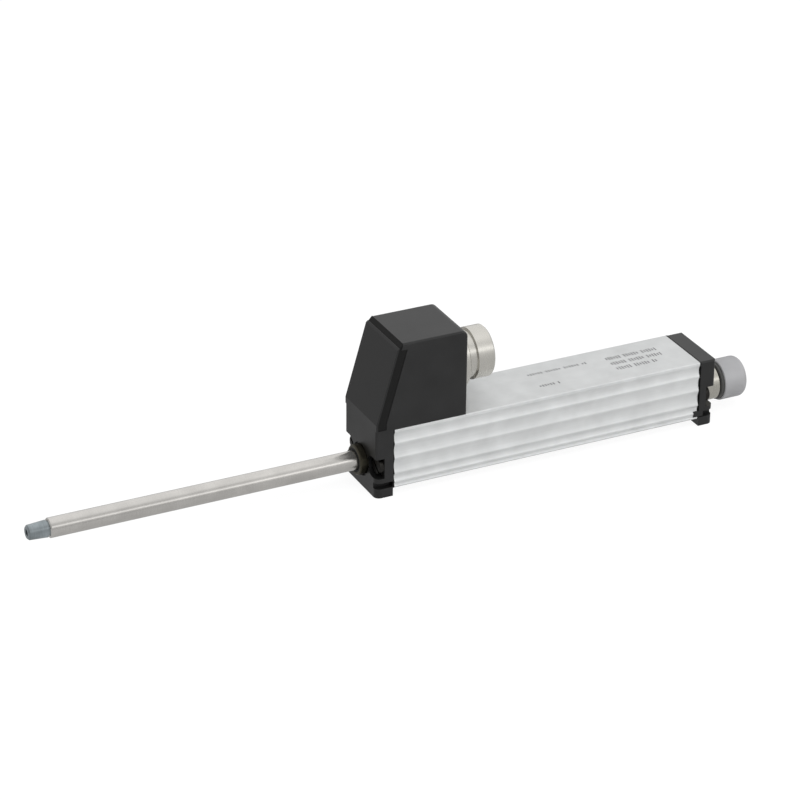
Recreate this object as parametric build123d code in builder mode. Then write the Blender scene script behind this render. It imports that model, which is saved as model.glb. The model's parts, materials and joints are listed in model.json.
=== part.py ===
from build123d import *
import os

# Potentiometric displacement sensor with a spring-loaded probe rod.
# Frame: +X runs along the rod from the probe tip to the rear knob, +Z is up.
# The origin is the middle of the front foot's underside. All sizes are millimetres.

# Housing
width = 21.3
housing_top = 22.0
profile_bottom = 2.5
front_cap_length = 5.6
rear_cap_length = 5.1
gasket_thickness = 0.5

# Nut, stop ring and knob behind the rear cap
rear_nut_length = 5.7
buffer_thickness = 1.2
knob_length = 8.4

# Rod and its axis above the base
rod_radius = 3.0
axis_height = 8.6
rod_reach = 98.7
tip_length = 6.5
running_clearance = 0.03

# Travel of the rod, and what the profile holds besides it
stroke = 75.0
hub_lead = 4.6
hub_length = 11.2
spring_solid_length = 13.3

# Fluted sides of the profile: ridge heights above the base, and how deep the flutes are
ridge_heights = (21.2, 17.2, 12.3, 7.4, 4.45, 2.8)
ridge_land = 0.45
flute_depth = 0.55
steepest_flute = 5.0
profile_edge_radius = 0.4

# Inside of the profile
channel_radius = 4.9
chamber_half_width = 7.4
chamber_floor = 12.5
slot_half_width = 8.7
slot_floor = 17.9
slot_ceiling = 19.7

# End cap screws, in pockets that break out through the caps' sides
screw_offset = 7.95
screw_height = 9.7
screw_radius = 1.45
screw_core_radius = 1.5
screw_head_radius = 2.6
screw_head_height = 1.6
screw_head_bevel = 0.3
screw_reach = 10.0
screw_play = 0.15
drive_slot_width = 0.8
drive_slot_depth = 0.8
drive_slot_angle = 35
pocket_radius = 3.3
pocket_depth = 2.8

# Feet of the end caps and the clamp grooves over them
foot_height = 3.0
groove_top = 4.9
groove_depth = 2.0
foot_corner_radius = 1.8
cap_edge_radius = 0.7

# Bearing bushes in the end caps
bush_radius = 4.2
bush_play = 0.02
bush_recess_radius = 5.2
bush_recess_depth = 0.5

# Connector hood, its cover and the rubber frame between them: upright below, slanted above the kink
hood_top = 49.5
hood_length = 29.8
kink_height = 24.5
slant_run = 7.2
cover_bottom = 22.4
cover_top = 48.2
cover_thickness = 0.6
cover_bevel = 0.45
cover_run = 3.4
roof_run = 1.4
frame_set_in = 0.1
frame_bar = 1.2
hood_wall = 2.0
hood_floor = 23.8
hood_rear_wall = 2.2
hood_edge_radius = 0.7
hood_rear_top_radius = 2.0

# Round connector on the hood's rear wall
connector_height = 36.3
connector_radius = 8.0
connector_flange_radius = 9.6
connector_bore_radius = 6.7
barrel_radius = 6.15
pin_circle_radius = 3.5
pin_radius = 0.5
pin_count = 5

# Where each group of pieces starts along the rod axis
front_face = -front_cap_length / 2
cap_back = front_face + front_cap_length
profile_front = cap_back + gasket_thickness
profile_length = hub_lead + hub_length + stroke + spring_solid_length
profile_back = profile_front + profile_length
rear_cap_front = profile_back + gasket_thickness
rear_face = rear_cap_front + rear_cap_length
rear_nut_end = rear_face + rear_nut_length
buffer_end = rear_nut_end + buffer_thickness
knob_end = buffer_end + knob_length
rod_front = front_face - rod_reach
tip_end = rod_front - tip_length
hood_back = front_face + hood_length
hood_inner_back = hood_back - hood_rear_wall
roof_underside = hood_top - hood_wall
half_width = width / 2
screw_places = ((-screw_offset, screw_height), (screw_offset, screw_height))

os.makedirs("parts", exist_ok=True)


def save(piece, name):
    """Label a finished piece and write its file."""
    piece.part.label = name
    export_step(piece.part, f"parts/{name}.step")


def cross_section(x):
    """The plane square to the rod at x, with Y to its right and Z up."""
    return Plane.YZ.offset(x)


def turned(half_section, height):
    """A turned piece, from the (x, radius) corners of its half section."""
    with BuildPart() as piece:
        with BuildSketch(Plane.XZ):
            with BuildLine():
                Polyline(*[(x, height + radius) for x, radius in half_section], close=True)
            make_face()
        revolve(axis=Axis((0, 0, height), (1, 0, 0)))
    return piece


def draw_fluted_outline():
    """Outside of the aluminium profile, with concave flutes between its ridges."""
    with Locations((0, (housing_top + profile_bottom) / 2)):
        RectangleRounded(width, housing_top - profile_bottom, profile_edge_radius)
    for upper, lower in zip(ridge_heights, ridge_heights[1:]):
        chord = upper - lower - ridge_land
        depth = min(flute_depth, chord / steepest_flute)
        radius = chord**2 / (8 * depth) + depth / 2
        for side in (-1, 1):
            with Locations((side * (half_width + radius - depth), (upper + lower) / 2)):
                Circle(radius, mode=Mode.SUBTRACT)


def cut_cavity():
    """Rod channel, wiper chamber and board slots, cut from the sketch in hand."""
    with Locations((0, axis_height)):
        Circle(channel_radius, mode=Mode.SUBTRACT)
    with Locations((0, (chamber_floor + slot_floor) / 2)):
        Rectangle(2 * chamber_half_width, slot_floor - chamber_floor, mode=Mode.SUBTRACT)
    with Locations((0, (slot_floor + slot_ceiling) / 2)):
        Rectangle(2 * slot_half_width, slot_ceiling - slot_floor, mode=Mode.SUBTRACT)


def cut_screw_holes(radius):
    """The pair of screw holes beside the rod, cut from the sketch in hand."""
    with Locations(*screw_places):
        Circle(radius, mode=Mode.SUBTRACT)


def draw_screw_pockets():
    """Round-ended pockets for the screw heads, open to the cap's sides."""
    for side in (-1, 1):
        with Locations((side * screw_offset, screw_height)):
            Circle(pocket_radius)
        with Locations((side * (screw_offset + half_width) / 2, screw_height)):
            Rectangle(half_width - screw_offset, 2 * pocket_radius)


def draw_clamp_grooves():
    """The grooves over the foot, which run along both sides of a cap."""
    for side in (-1, 1):
        with Locations((side * (half_width - groove_depth / 2), (foot_height + groove_top) / 2)):
            Rectangle(groove_depth, groove_top - foot_height)


def draw_lugs(play):
    """The two small blocks by which the rear cap grips the profile."""
    for side in (-1, 1):
        with Locations((side * (lug_inner + half_width - play) / 2, (lug_bottom + lug_top) / 2)):
            Rectangle(half_width - lug_inner + play, lug_top - lug_bottom + 2 * play)


def end_cap(inner_x, outer_x, top, free_top):
    """An end cap's plate with its foot, clamp grooves, screw pockets and holes."""
    length = outer_x - inner_x
    inward = 1 if inner_x > outer_x else -1
    with BuildPart() as plate:
        with BuildSketch(cross_section(inner_x)):
            with Locations((0, top / 2)):
                Rectangle(width, top)
            with Locations((0, axis_height)):
                Circle(bush_radius + bush_play, mode=Mode.SUBTRACT)
            cut_screw_holes(screw_core_radius + screw_play)
        extrude(amount=length)
        with BuildSketch(cross_section(inner_x)):
            draw_clamp_grooves()
        extrude(amount=length, mode=Mode.SUBTRACT)
        with BuildSketch(cross_section(outer_x)):
            draw_screw_pockets()
        extrude(amount=inward * pocket_depth, mode=Mode.SUBTRACT)
        upright = plate.edges().filter_by(Axis.Z).filter_by(
            lambda edge: abs(edge.center().X - outer_x) + abs(abs(edge.center().Y) - half_width) < 0.01
        )
        fillet(upright.filter_by(lambda edge: edge.center().Z < screw_height), foot_corner_radius)
        upper_edges = plate.edges().filter_by(Axis.Z).filter_by(
            lambda edge: abs(edge.center().X - outer_x) < 0.01 and edge.center().Z > screw_height
        )
        if free_top:
            upper_edges += plate.edges().filter_by(Axis.X).group_by(Axis.Z)[-1]
        fillet(upper_edges, cap_edge_radius)
    return plate


def slant_x(height):
    """Where the front face of the hood's cover stands at a height."""
    return front_face + slant_run * (height - kink_height) / (hood_top - kink_height)


def slanted_layer(start, end, bottom, top):
    """Side view of a layer parallel to the slant, between two distances behind its face."""
    return [
        (slant_x(bottom) + start, bottom),
        (slant_x(top) + start, top),
        (slant_x(top) + end, top),
        (slant_x(bottom) + end, bottom),
    ]


def bent_edge(distance):
    """Lower end and kink of the line that runs at a distance behind the cover's face."""
    return [(front_face + distance, cover_bottom), (front_face + distance, kink_height)]


# Extruded aluminium housing, slotted above for the leads and notched behind for the lugs
lead_slot_x = profile_front + 11.0
lead_slot_length = 9.6
lead_slot_width = 3.4
lug_length = 1.9
lug_bottom = 3.3
lug_top = 5.2
lug_inner = 9.9
lug_play = 0.05
lug_root = 1.5

with BuildPart() as housing_profile:
    with BuildSketch(cross_section(profile_front)):
        draw_fluted_outline()
        cut_cavity()
        cut_screw_holes(screw_core_radius)
    extrude(amount=profile_length)
    with BuildSketch(Plane.XY.offset(slot_floor)):
        with Locations((lead_slot_x, 0)):
            SlotOverall(lead_slot_length, lead_slot_width, rotation=90)
    extrude(amount=housing_top - slot_floor, mode=Mode.SUBTRACT)
    with BuildSketch(cross_section(profile_back)):
        draw_lugs(lug_play)
    extrude(amount=-(lug_length - gasket_thickness), mode=Mode.SUBTRACT)
save(housing_profile, "housing_profile")

# Flat gaskets between the profile's ends and the caps, cut to the profile's own section
for name, start in (("front_gasket", cap_back), ("rear_gasket", profile_back)):
    with BuildPart() as gasket:
        with BuildSketch(cross_section(start)):
            draw_fluted_outline()
            cut_cavity()
            cut_screw_holes(screw_core_radius + screw_play)
        extrude(amount=gasket_thickness)
        if start == profile_back:
            with BuildSketch(cross_section(start)):
                draw_lugs(lug_play)
            extrude(amount=gasket_thickness, mode=Mode.SUBTRACT)
    save(gasket, name)

# Front cap and connector hood, one moulding
connector_hole_play = 0.05
connector_hole_radius = barrel_radius + connector_hole_play
cut_margin = 1.0

with BuildPart() as front_head:
    with BuildSketch(Plane.XZ) as hood_side:
        with BuildLine():
            Polyline(
                (front_face + cover_run, housing_top - cut_margin),
                *bent_edge(cover_run),
                (slant_x(roof_underside) + cover_run, roof_underside),
                (slant_x(roof_underside) + roof_run, roof_underside),
                (slant_x(hood_top) + roof_run, hood_top),
                (hood_back, hood_top),
                (hood_back, housing_top),
                (cap_back, housing_top),
                (cap_back, housing_top - cut_margin),
                close=True,
            )
        make_face()
        fillet(hood_side.vertices().group_by(Axis.Y)[-1].sort_by(Axis.X)[-1], hood_rear_top_radius)
    extrude(amount=half_width, both=True)
    # Rounded edges from the top of the slant, round the rear corner and down the rear wall
    side_edges = front_head.edges().filter_by(lambda edge: abs(edge.center().Y) > half_width - 0.01)
    fillet(
        side_edges.filter_by(lambda edge: edge.center().Z > hood_floor and edge.center().X > cap_back + slant_run),
        hood_edge_radius,
    )
    # Hollow of the hood, open to the slanted front
    with BuildSketch(Plane.XZ):
        with BuildLine():
            Polyline(
                (front_face, kink_height + hood_wall),
                (front_face, roof_underside),
                (hood_inner_back, roof_underside),
                (hood_inner_back, hood_floor),
                (cap_back + hood_wall, hood_floor),
                (cap_back + hood_wall, kink_height + hood_wall),
                close=True,
            )
        make_face()
    extrude(amount=half_width - hood_wall, both=True, mode=Mode.SUBTRACT)
    # Connector hole in the rear wall and lead slot in the floor
    with BuildSketch(cross_section(hood_inner_back - cut_margin)):
        with Locations((0, connector_height)):
            Circle(connector_hole_radius)
    extrude(amount=hood_rear_wall + 2 * cut_margin, mode=Mode.SUBTRACT)
    with BuildSketch(Plane.XY.offset(housing_top)):
        with Locations((lead_slot_x, 0)):
            SlotOverall(lead_slot_length, lead_slot_width, rotation=90)
    extrude(amount=hood_floor - housing_top, mode=Mode.SUBTRACT)
    # End cap under the hood, with a shallow round recess for the bush's collar
    add(end_cap(cap_back, front_face, cover_bottom, free_top=False).part)
    with BuildSketch(cross_section(front_face)):
        with Locations((0, axis_height)):
            Circle(bush_recess_radius)
    extrude(amount=bush_recess_depth, mode=Mode.SUBTRACT)
save(front_head, "front_head")

# Rubber frame between the hood and its cover, with a bevelled lip in front of the hood's roof
opening_bottom = kink_height + hood_wall
opening_top = roof_underside - frame_bar

with BuildPart() as hood_seal:
    with BuildSketch(Plane.XZ):
        with BuildLine():
            Polyline(
                *bent_edge(cover_thickness),
                (slant_x(cover_top) + cover_thickness, cover_top),
                (slant_x(hood_top) + roof_run, hood_top),
                (slant_x(roof_underside) + roof_run, roof_underside),
                (slant_x(roof_underside) + cover_run, roof_underside),
                *reversed(bent_edge(cover_run)),
                close=True,
            )
        make_face()
    extrude(amount=half_width - frame_set_in, both=True)
    with BuildSketch(Plane.XZ):
        with BuildLine():
            Polyline(*slanted_layer(0, 2 * cover_run, opening_bottom, opening_top), close=True)
        make_face()
    extrude(amount=half_width - hood_wall, both=True, mode=Mode.SUBTRACT)
save(hood_seal, "hood_seal")

# Cover of the hood, a bent plate with a hollow rim behind it that reaches through the frame
rim_depth = 1.8
rim_wall = 1.2
rim_play = 0.1
rim_bottom = opening_bottom + rim_play
rim_top = opening_top - rim_play
rim_end = cover_run + rim_depth
rim_half_width = half_width - hood_wall - rim_play

with BuildPart() as hood_cover:
    with BuildSketch(Plane.XZ):
        with BuildLine():
            Polyline(
                *bent_edge(0),
                (slant_x(cover_top), cover_top),
                (slant_x(cover_top) + cover_thickness, cover_top),
                *reversed(bent_edge(cover_thickness)),
                close=True,
            )
        make_face()
    extrude(amount=half_width, both=True)
    top_front_edge = hood_cover.edges().filter_by(Axis.Y).group_by(Axis.Z)[-1].sort_by(Axis.X)[0]
    chamfer(top_front_edge, cover_bevel)
    with BuildSketch(Plane.XZ):
        with BuildLine():
            Polyline(*slanted_layer(cover_thickness, rim_end, rim_bottom, rim_top), close=True)
        make_face()
    extrude(amount=rim_half_width, both=True)
    with BuildSketch(Plane.XZ):
        with BuildLine():
            Polyline(
                *slanted_layer(cover_thickness, 2 * rim_end, rim_bottom + rim_wall, rim_top - rim_wall),
                close=True,
            )
        make_face()
    extrude(amount=rim_half_width - rim_wall, both=True, mode=Mode.SUBTRACT)
save(hood_cover, "hood_cover")

# Rear cap, with two small lugs that grip the profile
with BuildPart() as rear_cap:
    add(end_cap(rear_cap_front, rear_face, housing_top, free_top=True).part)
    with BuildSketch(cross_section(rear_cap_front - lug_length)):
        draw_lugs(0)
    extrude(amount=lug_length + lug_root)
save(rear_cap, "rear_cap")


def cap_screws(name, seat, outward):
    """A pair of slotted cheese-head screws, their heads standing outward from the seat."""
    with BuildPart() as screws:
        with BuildSketch(cross_section(seat)):
            with Locations(*screw_places):
                Circle(screw_head_radius)
        extrude(amount=outward * screw_head_height)
        head_faces = screws.faces().sort_by(Axis((0, 0, 0), (outward, 0, 0)))[-2:]
        chamfer(head_faces.edges(), screw_head_bevel)
        with BuildSketch(cross_section(seat)):
            with Locations(*screw_places):
                Circle(screw_radius)
        extrude(amount=-outward * screw_reach)
        with BuildSketch(cross_section(seat + outward * screw_head_height)):
            with Locations(*screw_places):
                Rectangle(3 * screw_head_radius, drive_slot_width, rotation=drive_slot_angle)
        extrude(amount=-outward * drive_slot_depth, mode=Mode.SUBTRACT)
    save(screws, name)


cap_screws("front_cap_screws", front_face + pocket_depth, -1)
cap_screws("rear_cap_screws", rear_face - pocket_depth, 1)

# Front bearing bush with a collar that stands proud, and the scraper seal in its mouth
bore_radius = rod_radius + running_clearance
collar_radius = 4.7
collar_bevel = 0.3
collar_reach = 2.1
collar_front = front_face - collar_reach
collar_seat = front_face + bush_recess_depth
bush_insertion = 1.2
bush_back = profile_front + bush_insertion
seal_radius = 3.8
seal_depth = 1.2
seal_seat = collar_front + seal_depth

front_bush = turned(
    [
        (collar_front, seal_radius),
        (collar_front, collar_radius - collar_bevel),
        (collar_front + collar_bevel, collar_radius),
        (collar_seat, collar_radius),
        (collar_seat, bush_radius),
        (bush_back, bush_radius),
        (bush_back, bore_radius),
        (seal_seat, bore_radius),
        (seal_seat, seal_radius),
    ],
    axis_height,
)
save(front_bush, "front_bush")

seal_face = collar_front + 0.1
seal_root_radius = rod_radius + 0.3
seal_mouth_radius = rod_radius + 0.2
seal_lip_radius = rod_radius + 0.05
seal_lip_front = seal_face + 0.2
seal_lip_back = seal_face + 0.5
rod_seal = turned(
    [
        (seal_seat, seal_root_radius),
        (seal_seat, seal_radius),
        (seal_face, seal_radius),
        (seal_face, seal_mouth_radius),
        (seal_lip_front, seal_lip_radius),
        (seal_lip_back, seal_lip_radius),
    ],
    axis_height,
)
save(rod_seal, "rod_seal")

# Rear bearing bush: its flange carries the spring, its barrel the round nut outside
flange_thickness = 1.0
flange_play = 0.1
spring_seat = rear_cap_front - flange_thickness
flange_radius = channel_radius - flange_play
rear_nut_radius = 5.65
rear_nut_bevel = 0.4

rear_bush = turned(
    [
        (spring_seat, bore_radius),
        (spring_seat, flange_radius),
        (rear_cap_front, flange_radius),
        (rear_cap_front, bush_radius),
        (rear_nut_end, bush_radius),
        (rear_nut_end, bore_radius),
    ],
    axis_height,
)
save(rear_bush, "rear_bush")

rear_nut = turned(
    [
        (rear_face, bush_radius + bush_play),
        (rear_face, rear_nut_radius),
        (rear_nut_end - rear_nut_bevel, rear_nut_radius),
        (rear_nut_end, rear_nut_radius - rear_nut_bevel),
        (rear_nut_end, bush_radius + bush_play),
    ],
    axis_height,
)
save(rear_nut, "rear_nut")

# Carriage on the rod: hub, neck and the head that carries the wipers
hub_front = profile_front + hub_lead
hub_back = hub_front + hub_length
hub_radius = 4.5
neck_half_width = 2.5
head_half_width = 6.9
head_bottom = 12.9
head_top = 15.7
head_corner_radius = 0.5
carriage_play = 0.05
track_offset = 3.5
seat_x = hub_front + 4.0
seat_length = 6.0
seat_width = 4.2
seat_depth = 0.3

with BuildPart() as carriage:
    with BuildSketch(cross_section(hub_front)):
        with Locations((0, axis_height)):
            Circle(hub_radius)
        with Locations((0, (axis_height + head_top) / 2)):
            Rectangle(2 * neck_half_width, head_top - axis_height)
        with Locations((0, (head_bottom + head_top) / 2)):
            RectangleRounded(2 * head_half_width, head_top - head_bottom, head_corner_radius)
        with Locations((0, axis_height)):
            Circle(rod_radius + carriage_play, mode=Mode.SUBTRACT)
    extrude(amount=hub_length)
    # Shallow seats for the two wipers on the head
    with BuildSketch(Plane.XY.offset(head_top)):
        with Locations((seat_x, -track_offset), (seat_x, track_offset)):
            Rectangle(seat_length, seat_width)
    extrude(amount=-seat_depth, mode=Mode.SUBTRACT)
save(carriage, "carriage")

# Wipers: on each seat a foot plate with three bent fingers that reach up to a track
track_face = 17.95
strip = 0.2
foot_x = seat_x - 1.0
foot_length = 3.8
foot_width = 4.0
finger_width = 0.7
finger_pitch = 1.3
finger_count = 3
finger_run = 5.4
touch_gap = 0.05
touch_length = 0.6
finger_end_length = 0.5
foot_level = head_top - seat_depth
touch_level = track_face - strip - touch_gap
touch_x = foot_x + finger_run

with BuildPart() as wiper_contacts:
    with BuildSketch(Plane.XY.offset(foot_level)):
        with Locations((foot_x, -track_offset), (foot_x, track_offset)):
            Rectangle(foot_length, foot_width)
    extrude(amount=strip)
    finger_underside = [
        (foot_x, foot_level),
        (foot_x + foot_length / 2, foot_level),
        (touch_x, touch_level),
        (touch_x + touch_length, touch_level),
        (touch_x + touch_length + finger_end_length, touch_level - strip),
    ]
    finger_upper_side = [(x, height + strip) for x, height in reversed(finger_underside)]
    finger_planes = [
        Plane.XZ.offset(side * track_offset + step * finger_pitch - finger_width / 2)
        for side in (-1, 1)
        for step in range(-(finger_count // 2), finger_count // 2 + 1)
    ]
    with BuildSketch(*finger_planes):
        with BuildLine():
            Polyline(*finger_underside, *finger_upper_side, close=True)
        make_face()
    extrude(amount=finger_width)
save(wiper_contacts, "wiper_contacts")

# Resistance track board in the profile's slots, and the two printed tracks under it
board_thickness = 1.6
board_play = 0.2
board_end_gap = 1.7
board_length = profile_length - 2 * board_end_gap
board_middle = (profile_front + profile_back) / 2
track_thickness = 0.1
track_width = 4.4
track_end_margin = 2.0
track_length = board_length - 2 * track_end_margin
board_bottom = track_face + track_thickness
board_top = board_bottom + board_thickness

with BuildPart() as track_board:
    with BuildSketch(Plane.XY.offset(board_bottom)):
        with Locations((board_middle, 0)):
            Rectangle(board_length, 2 * (slot_half_width - board_play))
    extrude(amount=board_thickness)
save(track_board, "track_board")

with BuildPart() as resistance_tracks:
    with BuildSketch(Plane.XY.offset(track_face)):
        with Locations((board_middle, -track_offset), (board_middle, track_offset)):
            Rectangle(track_length, track_width)
    extrude(amount=track_thickness)
save(resistance_tracks, "resistance_tracks")

# Probe rod with grooves for the retaining rings and a bore for the tip's spigot
ring_thickness = 0.6
washer_thickness = 0.45
washer_play = 0.05
ring_groove_radius = 2.5
front_ring = hub_front - washer_play - washer_thickness - ring_thickness
rear_ring = hub_back + washer_play + washer_thickness
spigot_radius = 1.5
spigot_length = 5.0
spigot_play = 0.02
spigot_end_gap = 0.3
rod_in_knob = 4.6
rod_back = buffer_end + rod_in_knob
rod_end_bevel = 0.4
rod_nose_bevel = 0.3

with BuildPart() as rod:
    with BuildSketch(cross_section(rod_front)):
        with Locations((0, axis_height)):
            Circle(rod_radius)
    extrude(amount=rod_back - rod_front)
    chamfer(rod.faces().sort_by(Axis.X)[-1].edges(), rod_end_bevel)
    chamfer(rod.faces().sort_by(Axis.X)[0].edges(), rod_nose_bevel)
    for start in (front_ring, rear_ring):
        with BuildSketch(cross_section(start)):
            with Locations((0, axis_height)):
                Circle(2 * rod_radius)
                Circle(ring_groove_radius, mode=Mode.SUBTRACT)
        extrude(amount=ring_thickness, mode=Mode.SUBTRACT)
    with BuildSketch(cross_section(rod_front)):
        with Locations((0, axis_height)):
            Circle(spigot_radius)
    extrude(amount=spigot_length + spigot_end_gap, mode=Mode.SUBTRACT)
save(rod, "rod")

# Retaining rings, open on one side, and the washers between them and the carriage
ring_radius = 3.8
ring_gap = 3.6

with BuildPart() as retaining_rings:
    for start in (front_ring, rear_ring):
        with BuildSketch(cross_section(start)):
            with Locations((0, axis_height)):
                Circle(ring_radius)
                Circle(ring_groove_radius, mode=Mode.SUBTRACT)
            with Locations((0, axis_height - ring_radius)):
                Rectangle(ring_gap, 2 * ring_groove_radius, mode=Mode.SUBTRACT)
        extrude(amount=ring_thickness)
save(retaining_rings, "retaining_rings")

with BuildPart() as thrust_washers:
    for start in (front_ring + ring_thickness, rear_ring - washer_thickness):
        with BuildSketch(cross_section(start)):
            with Locations((0, axis_height)):
                Circle(ring_radius)
                Circle(rod_radius + washer_play, mode=Mode.SUBTRACT)
        extrude(amount=washer_thickness)
save(thrust_washers, "thrust_washers")

# Probe tip: a tapered nose with a rounded end, an undercut, a spigot and a threaded hole
nose_radius = 1.75
tip_bevel = 0.5
tip_root_radius = 2.6
undercut_radius = 2.15
undercut_length = 0.5
tip_thread_radius = 1.025
tip_thread_length = 6.0
tip_mouth_bevel = 0.2

with BuildPart() as probe_tip:
    with BuildSketch(Plane.XZ):
        with BuildLine():
            Polyline(
                (tip_end, axis_height),
                (tip_end, axis_height + nose_radius),
                (tip_end + tip_bevel, axis_height + nose_radius + tip_bevel),
                (rod_front - undercut_length, axis_height + tip_root_radius),
                (rod_front - undercut_length, axis_height + undercut_radius),
                (rod_front, axis_height + undercut_radius),
                (rod_front, axis_height + spigot_radius - spigot_play),
                (rod_front + spigot_length, axis_height + spigot_radius - spigot_play),
                (rod_front + spigot_length, axis_height),
                close=True,
            )
        make_face()
    revolve(axis=Axis((0, 0, axis_height), (1, 0, 0)))
    with BuildSketch(cross_section(tip_end)):
        with Locations((0, axis_height)):
            Circle(tip_thread_radius)
    extrude(amount=tip_thread_length, mode=Mode.SUBTRACT)
    mouth = probe_tip.faces().sort_by(Axis.X)[0].edges().sort_by(SortBy.LENGTH)[0]
    chamfer(mouth, tip_mouth_bevel)
save(probe_tip, "probe_tip")

# Rubber stop ring and the knob that it cushions
buffer_radius = 5.95
buffer_bevel = 0.3
buffer_play = 0.05
buffer_bore_radius = rod_radius + buffer_play

stop_buffer = turned(
    [
        (rear_nut_end, buffer_bore_radius),
        (rear_nut_end, buffer_radius - buffer_bevel),
        (rear_nut_end + buffer_bevel, buffer_radius),
        (buffer_end, buffer_radius),
        (buffer_end, buffer_bore_radius),
    ],
    axis_height,
)
save(stop_buffer, "stop_buffer")

knob_radius = 6.45
knob_round = 1.8
knob_front_bevel = 0.25
knob_bore_length = 5.0
knob_bore_play = 0.02

with BuildPart() as rear_knob:
    with BuildSketch(cross_section(buffer_end)):
        with Locations((0, axis_height)):
            Circle(knob_radius)
    extrude(amount=knob_end - buffer_end)
    fillet(rear_knob.faces().sort_by(Axis.X)[-1].edges(), knob_round)
    chamfer(rear_knob.faces().sort_by(Axis.X)[0].edges(), knob_front_bevel)
    with BuildSketch(cross_section(buffer_end)):
        with Locations((0, axis_height)):
            Circle(rod_radius + knob_bore_play)
    extrude(amount=knob_bore_length, mode=Mode.SUBTRACT)
save(rear_knob, "rear_knob")

# Return spring between the carriage and the rear bush, its wire drawn with flat sides
spring_wire_radius = 0.225
spring_radius = 4.3
spring_turns = 9
wire_sides = 4
spring_length = spring_seat - hub_back - 2 * spring_wire_radius

with BuildPart() as return_spring:
    with BuildLine() as coil:
        Helix(
            pitch=spring_length / spring_turns,
            height=spring_length,
            radius=spring_radius,
            center=(hub_back + spring_wire_radius, 0, axis_height),
            direction=(1, 0, 0),
        )
    with BuildSketch(Plane(origin=coil.line @ 0, z_dir=coil.line % 0)):
        RegularPolygon(spring_wire_radius, wire_sides)
    sweep(is_frenet=True)
save(return_spring, "return_spring")

# Round connector: flanged shell with an outer thread, seal, inner nut, insert and pins
connector_flange_thickness = 2.0
flange_back = hood_back + connector_flange_thickness
flange_bevel = 0.3
neck_radius = 7.3
ring_front = hood_back + 5.3
ring_end = hood_back + 10.8
ring_bevel = 0.4
barrel_reach = 3.8
barrel_front = hood_inner_back - barrel_reach
insert_seat = flange_back + 0.8
insert_flange = 1.2
rear_bore_radius = 5.0
seal_recess_radius = 8.7
seal_thickness = 0.75

connector_shell = turned(
    [
        (barrel_front, rear_bore_radius),
        (barrel_front, barrel_radius),
        (hood_back + seal_thickness, barrel_radius),
        (hood_back + seal_thickness, seal_recess_radius),
        (hood_back, seal_recess_radius),
        (hood_back, connector_flange_radius),
        (flange_back - flange_bevel, connector_flange_radius),
        (flange_back, connector_flange_radius - flange_bevel),
        (flange_back, neck_radius),
        (ring_front, neck_radius),
        (ring_front, connector_radius),
        (ring_end - ring_bevel, connector_radius),
        (ring_end, connector_radius - ring_bevel),
        (ring_end, connector_bore_radius),
        (insert_seat, connector_bore_radius),
        (insert_seat, rear_bore_radius),
    ],
    connector_height,
)
save(connector_shell, "connector_shell")

seal_fit = 0.05
connector_seal = turned(
    [
        (hood_back, barrel_radius + seal_fit),
        (hood_back, seal_recess_radius - seal_fit),
        (hood_back + seal_thickness, seal_recess_radius - seal_fit),
        (hood_back + seal_thickness, barrel_radius + seal_fit),
    ],
    connector_height,
)
save(connector_seal, "connector_seal")

inner_nut_thickness = 2.4
inner_nut_half_width = 7.6
inner_nut_play = 0.02

with BuildPart() as connector_nut:
    with BuildSketch(cross_section(hood_inner_back - inner_nut_thickness)):
        with Locations((0, connector_height)):
            RegularPolygon(inner_nut_half_width, 6, major_radius=False, rotation=30)
            Circle(barrel_radius + inner_nut_play, mode=Mode.SUBTRACT)
    extrude(amount=inner_nut_thickness)
save(connector_nut, "connector_nut")

insert_face = insert_seat + insert_flange
insert_set_back = 0.6
insert_back = barrel_front + insert_set_back
insert_play = 0.03
pin_play = 0.02
key_width = 1.6
key_height = 1.0
key_length = 4.5
key_play = 0.1
key_middle = connector_height - connector_bore_radius + key_play + key_height / 2

with BuildPart() as connector_insert:
    with BuildSketch(cross_section(insert_back)):
        with Locations((0, connector_height)):
            Circle(rear_bore_radius - insert_play)
    extrude(amount=insert_seat - insert_back)
    with BuildSketch(cross_section(insert_seat)):
        with Locations((0, connector_height)):
            Circle(connector_bore_radius - insert_play)
    extrude(amount=insert_flange)
    # Polarising key on the lower side of the socket
    with BuildSketch(cross_section(insert_face)):
        with Locations((0, key_middle)):
            Rectangle(key_width, key_height)
    extrude(amount=key_length)
    with BuildSketch(cross_section(insert_back)):
        with Locations((0, connector_height)):
            with PolarLocations(pin_circle_radius, pin_count, 0, 180, endpoint=True):
                Circle(pin_radius + pin_play)
    extrude(amount=insert_face - insert_back, mode=Mode.SUBTRACT)
save(connector_insert, "connector_insert")

pin_tail = 1.2
pin_set_back = 1.4
pin_bevel = 0.2
pin_back = barrel_front - pin_tail
pin_front = ring_end - pin_set_back

with BuildPart() as connector_pins:
    with BuildSketch(cross_section(pin_back)):
        with Locations((0, connector_height)):
            with PolarLocations(pin_circle_radius, pin_count, 0, 180, endpoint=True):
                Circle(pin_radius)
    extrude(amount=pin_front - pin_back)
    chamfer(connector_pins.faces().filter_by(Axis.X).group_by(Axis.X)[-1].edges(), pin_bevel)
save(connector_pins, "connector_pins")

# Leads from the board up through the grommet to three of the pins
lead_radius = 0.45
lead_sides = 8
lead_bend = 3.0
lead_ends = (
    (-pin_circle_radius, connector_height),
    (0, connector_height + pin_circle_radius),
    (pin_circle_radius, connector_height),
)

with BuildPart() as lead_wires:
    for side, height in lead_ends:
        with BuildLine() as route:
            FilletPolyline(
                (lead_slot_x, side, board_top),
                (lead_slot_x, side, height),
                (pin_back, side, height),
                radius=lead_bend,
            )
        with BuildSketch(Plane(origin=route.line @ 0, z_dir=route.line % 0)):
            RegularPolygon(lead_radius, lead_sides)
        sweep(path=route.line)
save(lead_wires, "lead_wires")

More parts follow.
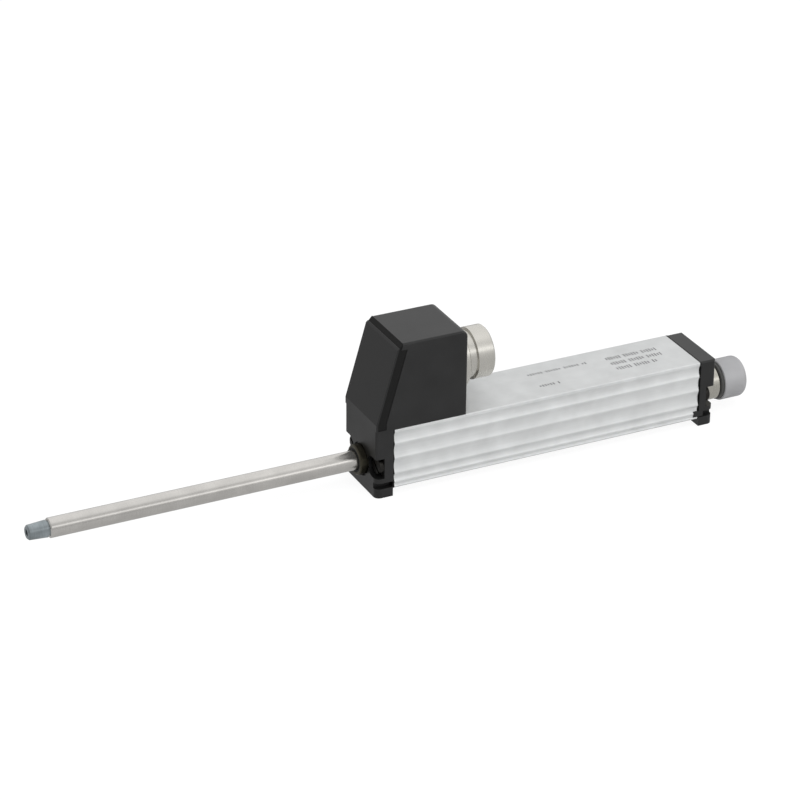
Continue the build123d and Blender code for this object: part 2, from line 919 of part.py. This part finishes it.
# Grommet where the leads leave the profile, with a lip on the hood's floor
grommet_play = 0.03
grommet_lip_width = 0.8
grommet_lip_thickness = 0.7
grommet_length = lead_slot_length - 2 * grommet_play
grommet_width = lead_slot_width - 2 * grommet_play

with BuildPart() as lead_grommet:
    with BuildSketch(Plane.XY.offset(slot_ceiling)):
        with Locations((lead_slot_x, 0)):
            SlotOverall(grommet_length, grommet_width, rotation=90)
    extrude(amount=hood_floor - slot_ceiling)
    with BuildSketch(Plane.XY.offset(hood_floor)):
        with Locations((lead_slot_x, 0)):
            SlotOverall(
                grommet_length + 2 * grommet_lip_width, grommet_width + 2 * grommet_lip_width, rotation=90
            )
    extrude(amount=grommet_lip_thickness)
    with BuildSketch(Plane.XY.offset(slot_ceiling)):
        with Locations(*[(lead_slot_x, side) for side, height in lead_ends]):
            Circle(lead_radius + grommet_play)
    extrude(amount=hood_floor - slot_ceiling + grommet_lip_thickness, mode=Mode.SUBTRACT)
save(lead_grommet, "lead_grommet")
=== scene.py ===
import bmesh
import bpy
import json
import math
from mathutils import Matrix, Vector


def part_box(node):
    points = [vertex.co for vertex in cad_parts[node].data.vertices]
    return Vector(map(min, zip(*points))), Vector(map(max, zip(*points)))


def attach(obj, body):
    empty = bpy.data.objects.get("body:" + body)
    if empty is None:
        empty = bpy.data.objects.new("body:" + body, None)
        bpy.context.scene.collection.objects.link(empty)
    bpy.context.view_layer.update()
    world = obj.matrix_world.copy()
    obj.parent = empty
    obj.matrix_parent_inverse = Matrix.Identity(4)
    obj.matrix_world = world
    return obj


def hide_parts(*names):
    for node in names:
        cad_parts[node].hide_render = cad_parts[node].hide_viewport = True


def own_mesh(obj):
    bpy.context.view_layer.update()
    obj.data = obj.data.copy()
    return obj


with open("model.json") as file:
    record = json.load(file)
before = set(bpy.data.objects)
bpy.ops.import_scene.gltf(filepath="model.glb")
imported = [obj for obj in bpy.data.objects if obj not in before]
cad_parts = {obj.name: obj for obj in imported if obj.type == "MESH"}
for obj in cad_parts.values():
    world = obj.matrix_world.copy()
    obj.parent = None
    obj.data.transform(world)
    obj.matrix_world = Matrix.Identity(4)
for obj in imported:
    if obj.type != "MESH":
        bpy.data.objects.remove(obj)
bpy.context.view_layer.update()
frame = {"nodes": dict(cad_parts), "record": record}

MM = 0.001
nodes = frame["nodes"]

# Places read from the frame
rod_low, rod_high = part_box("rod")
rod_axis_height = (rod_low.z + rod_high.z) / 2
profile_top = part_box("housing_profile")[1].z
head_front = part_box("front_head")[0].x

# How grain is stretched: drawn along the sensor, turned round its axis, or the same all ways
ALONG = (60, 1, 1)
ACROSS = (1, 12, 12)
EVEN = (1, 1, 1)

# The values of noise between which colour and gloss change, and those for a metal's streaks
NOISE_LOW = 0.3
NOISE_HIGH = 0.7
STREAK_LOW = 0.25
STREAK_HIGH = 0.75
# The size of the slow changes, in a metal's colour and in a plastic's colour and gloss
CLOUD_SIZE = 6 * MM
PATCH_SIZE = 9 * MM
# The least and the most roughness on one surface, as shares of the roughness it is given
METAL_GLOSS = (0.85, 1.2)
PLASTIC_GLOSS = (0.9, 1.12)


def material(name, base, metallic=0.0, roughness=0.5, specular=0.5):
    """A new node material: its tree, its shader and its object coordinates."""
    made = bpy.data.materials.new(name)
    made.use_nodes = True
    tree = made.node_tree
    shader = tree.nodes["Principled BSDF"]
    shader.inputs["Base Color"].default_value = (*base, 1)
    shader.inputs["Metallic"].default_value = metallic
    shader.inputs["Roughness"].default_value = roughness
    shader.inputs["Specular IOR Level"].default_value = specular
    coords = tree.nodes.new("ShaderNodeTexCoord").outputs["Object"]
    return made, tree, shader, coords


def noise(tree, coords, size, stretch=EVEN, detail=3.0):
    """Noise with features of a size in metres, longer along an axis where stretch is more than 1."""
    mapping = tree.nodes.new("ShaderNodeMapping")
    mapping.inputs["Scale"].default_value = [1 / (size * s) for s in stretch]
    tree.links.new(coords, mapping.inputs["Vector"])
    texture = tree.nodes.new("ShaderNodeTexNoise")
    texture.inputs["Scale"].default_value = 1.0
    texture.inputs["Detail"].default_value = detail
    tree.links.new(mapping.outputs["Vector"], texture.inputs["Vector"])
    return texture.outputs["Fac"]


def spread(tree, value, low, high, start=NOISE_LOW, end=NOISE_HIGH):
    """The value between start and end, mapped to the range from low to high."""
    node = tree.nodes.new("ShaderNodeMapRange")
    node.inputs["From Min"].default_value = start
    node.inputs["From Max"].default_value = end
    node.inputs["To Min"].default_value = low
    node.inputs["To Max"].default_value = high
    tree.links.new(value, node.inputs["Value"])
    return node.outputs["Result"]


def colours(tree, value, *stops):
    """A colour ramp over the value, from (place, colour) stops."""
    ramp = tree.nodes.new("ShaderNodeValToRGB")
    elements = ramp.color_ramp.elements
    while len(elements) < len(stops):
        elements.new(0.5)
    for element, (place, colour) in zip(elements, stops):
        element.position = place
        element.color = (*colour, 1)
    tree.links.new(value, ramp.inputs["Fac"])
    return ramp.outputs["Color"]


def multiplied(tree, first, second):
    """One colour or value times another."""
    node = tree.nodes.new("ShaderNodeMixRGB")
    node.blend_type = "MULTIPLY"
    node.inputs["Fac"].default_value = 1.0
    tree.links.new(first, node.inputs["Color1"])
    tree.links.new(second, node.inputs["Color2"])
    return node.outputs["Color"]


def bump(tree, shader, height, depth):
    """Bump of a depth in metres, from a height between 0 and 1."""
    node = tree.nodes.new("ShaderNodeBump")
    node.inputs["Strength"].default_value = 1.0
    node.inputs["Distance"].default_value = depth
    tree.links.new(height, node.inputs["Height"])
    tree.links.new(node.outputs["Normal"], shader.inputs["Normal"])


def metal(name, base, roughness, grain, stretch, depth, variation=0.12, metallic=1.0):
    """Worked metal: drawn, ground or turned lines, cloudy colour and uneven gloss."""
    made, tree, shader, coords = material(name, base, metallic, roughness)
    lines = noise(tree, coords, grain, stretch, detail=4)
    clouds = noise(tree, coords, CLOUD_SIZE, detail=2)
    darker = [c * (1 - variation) for c in base]
    lighter = [min(1, c * (1 + variation / 2)) for c in base]
    colour = colours(tree, clouds, (NOISE_LOW, darker), (NOISE_HIGH, lighter))
    streaks = colours(tree, lines, (STREAK_LOW, [1 - variation] * 3), (STREAK_HIGH, [1.0] * 3))
    tree.links.new(multiplied(tree, colour, streaks), shader.inputs["Base Color"])
    gloss = spread(tree, lines, *[roughness * share for share in METAL_GLOSS])
    tree.links.new(gloss, shader.inputs["Roughness"])
    bump(tree, shader, lines, depth)
    return made


def moulding(name, base, roughness, grain, depth, specular=0.5, variation=0.25):
    """Moulded plastic or rubber: a fine spark-eroded texture and slightly uneven gloss."""
    made, tree, shader, coords = material(name, base, 0.0, roughness, specular)
    texture = noise(tree, coords, grain)
    patches = noise(tree, coords, PATCH_SIZE)
    darker = [c * (1 - variation) for c in base]
    lighter = [c * (1 + variation) for c in base]
    shade = colours(tree, patches, (NOISE_LOW, darker), (NOISE_HIGH, lighter))
    tree.links.new(shade, shader.inputs["Base Color"])
    gloss = spread(tree, patches, *[roughness * share for share in PLASTIC_GLOSS])
    tree.links.new(gloss, shader.inputs["Roughness"])
    bump(tree, shader, texture, depth)
    return made


# The metals, by the name of their slot in the record
METALS = {
    "anodised_aluminium": dict(
        base=(0.62, 0.63, 0.63),
        roughness=0.42,
        grain=0.35 * MM,
        stretch=ALONG,
        depth=0.012 * MM,
        variation=0.07,
        metallic=0.35,
    ),
    "stainless_rod": dict(
        base=(0.73, 0.71, 0.68),
        roughness=0.20,
        grain=0.18 * MM,
        stretch=ACROSS,
        depth=0.004 * MM,
        variation=0.08,
    ),
    "tip_steel": dict(
        base=(0.45, 0.505, 0.53),
        roughness=0.34,
        grain=0.3 * MM,
        stretch=ACROSS,
        depth=0.01 * MM,
        variation=0.3,
    ),
    "screw_steel": dict(
        base=(0.045, 0.043, 0.040),
        roughness=0.4,
        grain=0.4 * MM,
        stretch=EVEN,
        depth=0.01 * MM,
        variation=0.3,
    ),
    "bush_bronze": dict(
        base=(0.10, 0.092, 0.068),
        roughness=0.38,
        grain=0.2 * MM,
        stretch=ACROSS,
        depth=0.01 * MM,
        variation=0.3,
    ),
    "nickel_plate": dict(
        base=(0.74, 0.72, 0.67),
        roughness=0.27,
        grain=0.3 * MM,
        stretch=ACROSS,
        depth=0.0015 * MM,
        variation=0.06,
    ),
    "knob_aluminium": dict(
        base=(0.42, 0.42, 0.43),
        roughness=0.5,
        grain=0.25 * MM,
        stretch=EVEN,
        depth=0.01 * MM,
        variation=0.06,
        metallic=0.5,
    ),
    "spring_steel": dict(
        base=(0.42, 0.42, 0.42),
        roughness=0.3,
        grain=0.3 * MM,
        stretch=EVEN,
        depth=0.005 * MM,
        variation=0.12,
    ),
    "contact_gold": dict(
        base=(0.75, 0.55, 0.24),
        roughness=0.26,
        grain=0.3 * MM,
        stretch=EVEN,
        depth=0.004 * MM,
        variation=0.1,
    ),
}

# The plastics and rubbers, and the ink and the board, by the name of their slot in the record
MOULDINGS = {
    "black_moulding": dict(
        base=(0.0085, 0.0085, 0.0087),
        roughness=0.36,
        grain=0.35 * MM,
        depth=0.010 * MM,
    ),
    "black_cover": dict(
        base=(0.0065, 0.0065, 0.0067),
        roughness=0.34,
        grain=0.25 * MM,
        depth=0.006 * MM,
    ),
    "black_rubber": dict(
        base=(0.004, 0.004, 0.0039),
        roughness=0.5,
        grain=0.3 * MM,
        depth=0.012 * MM,
        specular=0.25,
    ),
    "white_acetal": dict(
        base=(0.75, 0.74, 0.70),
        roughness=0.45,
        grain=0.3 * MM,
        depth=0.008 * MM,
        variation=0.05,
    ),
    "board_laminate": dict(
        base=(0.05, 0.16, 0.08),
        roughness=0.35,
        grain=0.4 * MM,
        depth=0.008 * MM,
        variation=0.15,
    ),
    "track_ink": dict(
        base=(0.012, 0.012, 0.012),
        roughness=0.3,
        grain=0.2 * MM,
        depth=0.003 * MM,
        variation=0.2,
    ),
    "insert_plastic": dict(
        base=(0.015, 0.015, 0.015),
        roughness=0.35,
        grain=0.3 * MM,
        depth=0.006 * MM,
    ),
    "lead_insulation": dict(
        base=(0.30, 0.03, 0.02),
        roughness=0.4,
        grain=0.3 * MM,
        depth=0.005 * MM,
        variation=0.1,
    ),
}

materials = {name: metal(name, **look) for name, look in METALS.items()}
materials.update({name: moulding(name, **look) for name, look in MOULDINGS.items()})


def dress(node, finish):
    """A CAD node shows in one finish alone."""
    node_materials = nodes[node].data.materials
    node_materials.clear()
    node_materials.append(finish)


# Every CAD node shows in the material of its own slot, apart from the two that follow
for part in frame["record"]["subparts"]:
    dress(part["node"], materials[part["material_slot"]])

# The stop ring is a greyer rubber than the seals; the rear nut takes a darker copy of the connector's
# nickel, painted shade that dims it
grey_rubber = moulding(
    "grey_rubber",
    base=(0.045, 0.045, 0.043),
    roughness=0.45,
    grain=0.3 * MM,
    depth=0.012 * MM,
)
# A darker copy of the nickel plate, which paints shade onto the rear nut
painted_shade_nickel = metal(
    "painted_shade_nickel",
    base=(0.62, 0.60, 0.54),
    roughness=0.24,
    grain=0.3 * MM,
    stretch=ACROSS,
    depth=0.0015 * MM,
    variation=0.08,
)
dress("stop_buffer", grey_rubber)
dress("rear_nut", painted_shade_nickel)


def add_piece(name, made, finish):
    """A piece of the housing from a bmesh, in a given finish."""
    mesh = bpy.data.meshes.new(name)
    made.to_mesh(mesh)
    made.free()
    mesh.materials.append(finish)
    piece = bpy.data.objects.new(name, mesh)
    bpy.context.scene.collection.objects.link(piece)
    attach(piece, "housing")
    return piece


# The return spring's turns, its wire and where the wire starts round the rod
SPRING_TURNS = 9
SPRING_WIRE_RADIUS = 0.225 * MM
SPRING_START = math.radians(90)
# How finely its mesh is divided along a turn and round the wire
TURN_STEPS = 36
WIRE_SIDES = 10


def add_spring():
    """The return spring in round wire."""
    low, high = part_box("return_spring")
    radius = (high.z - low.z) / 2 - SPRING_WIRE_RADIUS
    length = high.x - low.x - 2 * SPRING_WIRE_RADIUS
    steps = SPRING_TURNS * TURN_STEPS
    rise = length / (SPRING_TURNS * math.tau)
    made = bmesh.new()
    rings = []
    for step in range(steps + 1):
        angle = SPRING_START + math.tau * step / TURN_STEPS
        outward = Vector((0, math.cos(angle), math.sin(angle)))
        along = Vector((rise, -radius * math.sin(angle), radius * math.cos(angle))).normalized()
        sideways = along.cross(outward)
        place = low.x + SPRING_WIRE_RADIUS + length * step / steps
        centre = Vector((place, 0, rod_axis_height)) + radius * outward
        ring = []
        for side in range(WIRE_SIDES):
            turn = math.tau * side / WIRE_SIDES
            offset = math.cos(turn) * outward + math.sin(turn) * sideways
            ring.append(made.verts.new(centre + SPRING_WIRE_RADIUS * offset))
        rings.append(ring)
    for first, second in zip(rings, rings[1:]):
        for side in range(WIRE_SIDES):
            following = (side + 1) % WIRE_SIDES
            face = made.faces.new((first[side], first[following], second[following], second[side]))
            face.smooth = True
    made.faces.new(reversed(rings[0]))
    made.faces.new(rings[-1])
    bmesh.ops.recalc_face_normals(made, faces=made.faces)
    spring = add_piece("return_spring_wire", made, materials["spring_steel"])
    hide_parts("return_spring")
    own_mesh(spring)


# The printed marks: where each row starts and ends along X, its place in Y and its height, in mm
PRINTED_ROWS = (
    (55.0, 76.5, 4.1, 1.3),
    (55.0, 63.0, -3.9, 1.3),
    (82.0, 100.5, 3.7, 1.9),
    (82.0, 100.5, 0.2, 1.9),
    (82.0, 97.0, -3.3, 1.9),
)
# The ticks of a row, sizes in mm: the last of each group is left out, and every third one is shorter
TICK_PITCH = 0.9
TICK_WIDTH = 0.4
TICK_GROUP = 7
SHORT_TICK_EVERY = 3
SHORT_TICK_SHARE = 0.7
INK_THICKNESS = 0.02


def add_print():
    """Rows of plain upright ticks in grey ink on the flat top of the profile."""
    made = bmesh.new()
    for start, end, across, height in PRINTED_ROWS:
        for count in range(int((end - start) / TICK_PITCH)):
            if count % TICK_GROUP == TICK_GROUP - 1:
                continue
            tick_height = height * (1.0 if count % SHORT_TICK_EVERY else SHORT_TICK_SHARE)
            centre = Vector((start + (count + 0.5) * TICK_PITCH, across, 0)) * MM
            centre.z = profile_top + INK_THICKNESS * MM / 2
            size = Vector((TICK_WIDTH, tick_height, INK_THICKNESS)) * MM
            place = Matrix.Translation(centre) @ Matrix.Diagonal(size).to_4x4()
            bmesh.ops.create_cube(made, size=1.0, matrix=place)
    ink = moulding(
        "printing_ink",
        base=(0.17, 0.17, 0.175),
        roughness=0.6,
        grain=0.2 * MM,
        depth=0.002 * MM,
        specular=0.3,
        variation=0.3,
    )
    add_piece("printed_ticks", made, ink)


def add_camera():
    """The photograph's camera, from its angles, its distance and the rod's place in the frame."""
    azimuth = math.radians(26.210)
    elevation = math.radians(27.224)
    roll = math.radians(0.531)
    distance = 0.92996
    # The rod's axis meets the front cap this far to the left of the picture's middle, and below it
    left = 0.01173
    below = 0.01743
    focal_pixels = 3124.4
    frame_pixels = 800
    sensor = 36
    pivot = Vector((head_front, 0, rod_axis_height))
    flat = math.cos(elevation)
    forward = Vector((math.sin(azimuth) * flat, math.cos(azimuth) * flat, -math.sin(elevation)))
    level = Vector((math.cos(azimuth), -math.sin(azimuth), 0))
    upright = level.cross(forward)
    right = math.cos(roll) * level + math.sin(roll) * upright
    up = math.cos(roll) * upright - math.sin(roll) * level
    place = pivot - distance * forward + left * right + below * up
    data = bpy.data.cameras.new("camera")
    data.sensor_width = sensor
    data.lens = focal_pixels * sensor / frame_pixels
    data.clip_start = 0.05
    data.clip_end = 20
    camera = bpy.data.objects.new("camera", data)
    camera.matrix_world = Matrix.Translation(place) @ Matrix((right, up, -forward)).transposed().to_4x4()
    bpy.context.scene.collection.objects.link(camera)
    bpy.context.scene.camera = camera


# The lamps, and the point near the middle of the sensor that they are all turned towards
LAMP_AIM = (0.01, 0, 0.02)
LAMPS = {
    "key": dict(place=(-0.1, -0.45, 1.1), size=0.7, power=4.5),
    "fill": dict(place=(0.1, -1.1, 0.3), size=0.8, power=6.8),
    "back": dict(place=(0.15, 0.7, 1.0), size=0.8, power=1.0),
}


def add_light(name, place, size, power):
    """A soft square lamp at a place, which gloss doesn't mirror."""
    data = bpy.data.lights.new(name, "AREA")
    data.shape = "SQUARE"
    data.size = size
    data.energy = power
    lamp = bpy.data.objects.new(name, data)
    lamp.location = place
    lamp.rotation_mode = "QUATERNION"
    lamp.rotation_quaternion = (Vector(LAMP_AIM) - Vector(place)).to_track_quat("-Z", "Y")
    lamp.visible_glossy = False
    bpy.context.scene.collection.objects.link(lamp)


def ray_share(tree, seen_share, mirrored_share):
    """One share for direct sight and what is seen through glass, one for mirrored rays, else none."""
    path = tree.nodes.new("ShaderNodeLightPath")
    seen = tree.nodes.new("ShaderNodeMath")
    seen.operation = "MAXIMUM"
    tree.links.new(path.outputs["Is Camera Ray"], seen.inputs[0])
    tree.links.new(path.outputs["Is Transmission Ray"], seen.inputs[1])
    scaled = tree.nodes.new("ShaderNodeMath")
    scaled.operation = "MULTIPLY"
    scaled.inputs[1].default_value = seen_share
    tree.links.new(seen.outputs["Value"], scaled.inputs[0])
    total = tree.nodes.new("ShaderNodeMath")
    total.operation = "MULTIPLY_ADD"
    total.inputs[1].default_value = mirrored_share
    tree.links.new(path.outputs["Is Glossy Ray"], total.inputs[0])
    tree.links.new(scaled.outputs["Value"], total.inputs[2])
    return total.outputs["Value"]


# Brightness of the room from the horizon, 0, to overhead, 1, in front of the object and behind it
FRONT_ROOM = ((0.0, 0.50), (0.3, 0.60), (0.47, 1.40), (0.62, 0.70), (0.78, 0.62), (0.95, 0.95))
REAR_ROOM = ((0.0, 0.80), (0.2, 0.88), (0.6, 0.92), (1.0, 0.95))
# Share of that brightness on the left side, and, in front, beside and in the window on the right
DIM_SIDE = 0.6
BESIDE_WINDOW = 0.85
WINDOW = 1.3
# Between which Y of the direction front turns to rear, and between which X left turns to rest to window
FRONT_TO_REAR = (-0.45, 0.45)
LEFT_TO_REST = (-0.5, 0.3)
REST_TO_WINDOW = (0.30, 0.42)


def add_world():
    """White in direct sight; for light and gloss a room, with a bright band in front of the object."""
    world = bpy.data.worlds.new("studio")
    bpy.context.scene.world = world
    world.use_nodes = True
    tree = world.node_tree
    background = tree.nodes["Background"]
    direction = tree.nodes.new("ShaderNodeTexCoord").outputs["Generated"]
    split = tree.nodes.new("ShaderNodeSeparateXYZ")
    tree.links.new(direction, split.inputs["Vector"])
    height = spread(tree, split.outputs["Z"], 0.0, 1.0, 0.0, 1.0)
    depth = spread(tree, split.outputs["Y"], 0.0, 1.0, *FRONT_TO_REAR)
    front = colours(tree, height, *[(place, [level] * 3) for place, level in FRONT_ROOM])
    rear = colours(tree, height, *[(place, [level] * 3) for place, level in REAR_ROOM])
    window = spread(tree, split.outputs["X"], BESIDE_WINDOW, WINDOW, *REST_TO_WINDOW)
    room = tree.nodes.new("ShaderNodeMixRGB")
    tree.links.new(depth, room.inputs["Fac"])
    tree.links.new(multiplied(tree, front, window), room.inputs["Color1"])
    tree.links.new(rear, room.inputs["Color2"])
    sideways = spread(tree, split.outputs["X"], DIM_SIDE, 1.0, *LEFT_TO_REST)
    mix = tree.nodes.new("ShaderNodeMixRGB")
    tree.links.new(ray_share(tree, 1.0, 0.0), mix.inputs["Fac"])
    tree.links.new(multiplied(tree, room.outputs["Color"], sideways), mix.inputs["Color1"])
    mix.inputs["Color2"].default_value = (1, 1, 1, 1)
    tree.links.new(mix.outputs["Color"], background.inputs["Color"])
    background.inputs["Strength"].default_value = 1.0


# The floor's own grey, which direct sight doesn't show: there it is white
FLOOR_GREY = 0.75
# Brightness of the glow in gloss, in front of the object and behind it, and between which Y it changes
FRONT_FLOOR = 0.50
REAR_FLOOR = 0.38
FRONT_TO_REAR_FLOOR = (-0.02, 0.05)
# The glow's strength, and its share of the floor when seen and when mirrored; the rest is lit surface
GLOW_STRENGTH = 1.04
SEEN_GLOW = 0.87
MIRRORED_GLOW = 0.9


def add_floor():
    """A wide pale floor that the object stands on, near white, with a faint shadow left in it."""
    reach = 3.0
    mesh = bpy.data.meshes.new("floor")
    corners = [(-reach, -reach, 0), (reach, -reach, 0), (reach, reach, 0), (-reach, reach, 0)]
    mesh.from_pydata(corners, [], [(0, 1, 2, 3)])
    floor = bpy.data.objects.new("floor", mesh)
    bpy.context.scene.collection.objects.link(floor)
    made = bpy.data.materials.new("floor")
    made.use_nodes = True
    tree = made.node_tree
    tree.nodes.remove(tree.nodes["Principled BSDF"])
    shade = tree.nodes.new("ShaderNodeMixRGB")
    tree.links.new(ray_share(tree, 1.0, 0.0), shade.inputs["Fac"])
    shade.inputs["Color1"].default_value = (FLOOR_GREY, FLOOR_GREY, FLOOR_GREY, 1)
    shade.inputs["Color2"].default_value = (1, 1, 1, 1)
    diffuse = tree.nodes.new("ShaderNodeBsdfDiffuse")
    tree.links.new(shade.outputs["Color"], diffuse.inputs["Color"])
    glow = tree.nodes.new("ShaderNodeEmission")
    glow.inputs["Strength"].default_value = GLOW_STRENGTH
    split = tree.nodes.new("ShaderNodeSeparateXYZ")
    tree.links.new(tree.nodes.new("ShaderNodeTexCoord").outputs["Object"], split.inputs["Vector"])
    mirrored = spread(tree, split.outputs["Y"], FRONT_FLOOR, REAR_FLOOR, *FRONT_TO_REAR_FLOOR)
    seen = tree.nodes.new("ShaderNodeMixRGB")
    tree.links.new(ray_share(tree, 0.0, 1.0), seen.inputs["Fac"])
    seen.inputs["Color1"].default_value = (1, 1, 1, 1)
    tree.links.new(mirrored, seen.inputs["Color2"])
    tree.links.new(seen.outputs["Color"], glow.inputs["Color"])
    mix = tree.nodes.new("ShaderNodeMixShader")
    tree.links.new(ray_share(tree, SEEN_GLOW, MIRRORED_GLOW), mix.inputs["Fac"])
    tree.links.new(diffuse.outputs["BSDF"], mix.inputs[1])
    tree.links.new(glow.outputs["Emission"], mix.inputs[2])
    tree.links.new(mix.outputs["Shader"], tree.nodes["Material Output"].inputs["Surface"])
    mesh.materials.append(made)


add_spring()
add_print()
add_camera()
add_world()
add_floor()
for name, lamp in LAMPS.items():
    add_light(name, **lamp)
bpy.context.scene.view_settings.view_transform = "Standard"
